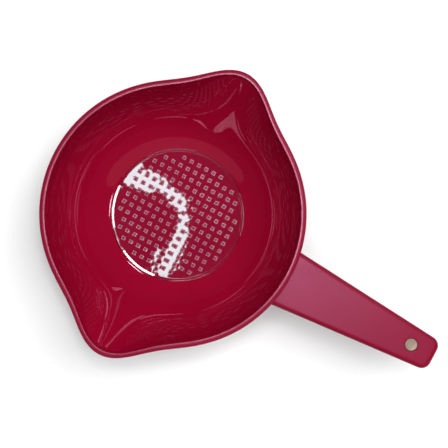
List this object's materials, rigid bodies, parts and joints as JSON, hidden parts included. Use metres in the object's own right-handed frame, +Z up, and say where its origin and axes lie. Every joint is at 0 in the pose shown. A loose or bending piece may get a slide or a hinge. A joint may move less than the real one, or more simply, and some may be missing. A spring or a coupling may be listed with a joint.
{
  "type": "strainer bowl",
  "caption": "Round plastic strainer bowl with two opposed pouring spouts, a lift-out perforated floor plate and a flat tapered handle with a riveted end.",
  "frame": {"origin": "centre of the bounding box's bottom face, on the plane that the foot ring stands on", "axes": "+X along the handle towards its tip, +Z up out of the bowl's mouth, +Y towards one pouring spout"},
  "size_m": [0.356, 0.2612, 0.08],
  "materials": {
    "gloss_red": "polished moulded plastic",
    "satin_red": "fine satin texture",
    "steel": "zinc plated",
    "rivet_metal": "matte tan metal"
  },
  "bodies": {
    "bowl": {"bowl": "gloss_red", "handle_top": "satin_red", "handle_bottom": "satin_red", "handle_screw_inner": "steel", "handle_screw_outer": "steel", "handle_rivet": "rivet_metal", "rivet_washer": "rivet_metal"},
    "plate": {"strainer_plate": "gloss_red"}
  },
  "joints": [
    {"name": "plate_lift", "type": "slide", "parent": "bowl", "child": "plate", "axis": [0, 0, 1], "range_m": [0, 0.085]}
  ]
}
